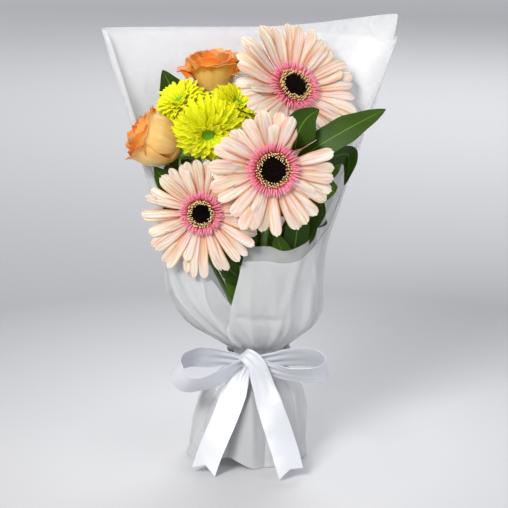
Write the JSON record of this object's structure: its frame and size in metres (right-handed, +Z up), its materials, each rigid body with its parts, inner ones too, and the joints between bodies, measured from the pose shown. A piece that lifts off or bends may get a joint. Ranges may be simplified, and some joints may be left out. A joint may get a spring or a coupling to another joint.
{
  "type": "wrapped gerbera bouquet",
  "caption": "Hand-tied bouquet of gerberas, roses, chrysanthemums and foliage, wrapped in frosted paper with a satin ribbon bow, standing on its paper skirt.",
  "frame": {"origin": "on the surface that the bouquet stands on, under the middle of its bounding box", "axes": "+Z up along the stems, -Y towards the front, where the bow and the flowers face, +X to the viewer's right"},
  "size_m": [0.2857, 0.1812, 0.4087],
  "materials": {
    "ray_peach": "matt petal",
    "floret_pink": "matt petal",
    "stamen_yellow": "matt, dusty",
    "eye_dark": "matt",
    "rose_apricot": "soft satin petal",
    "mum_yellow": "matt petal",
    "mum_green": "matt",
    "stem_green": "smooth, waxy",
    "leaf_green": "waxy leaf",
    "wrap_paper": "frosted, translucent",
    "twine_tan": "rough fibre",
    "satin_white": "satin"
  },
  "bodies": {
    "root": {"gerbera_front_rays": "ray_peach", "gerbera_front_florets": "floret_pink", "gerbera_front_stamens": "stamen_yellow", "gerbera_front_eye": "eye_dark", "gerbera_front_stem": "stem_green", "gerbera_low_rays": "ray_peach", "gerbera_low_florets": "floret_pink", "gerbera_low_stamens": "stamen_yellow", "gerbera_low_eye": "eye_dark", "gerbera_low_stem": "stem_green", "gerbera_high_rays": "ray_peach", "gerbera_high_florets": "floret_pink", "gerbera_high_stamens": "stamen_yellow", "gerbera_high_eye": "eye_dark", "gerbera_high_stem": "stem_green", "rose_left_bloom": "rose_apricot", "rose_left_stem": "stem_green", "rose_back_bloom": "rose_apricot", "rose_back_stem": "stem_green", "mum_front_petals": "mum_yellow", "mum_front_eye": "mum_green", "mum_left_petals": "mum_yellow", "mum_left_eye": "mum_green", "mum_right_petals": "mum_yellow", "mum_right_eye": "mum_green", "mum_stem": "stem_green", "foliage_right": "leaf_green", "foliage_left": "leaf_green", "foliage_back_left": "leaf_green", "foliage_back": "leaf_green", "foliage_low_right": "leaf_green", "foliage_low_front": "leaf_green", "paper_inner": "wrap_paper", "paper_outer": "wrap_paper", "binding_twine": "twine_tan", "ribbon_bow": "satin_white"}
  },
  "joints": []
}
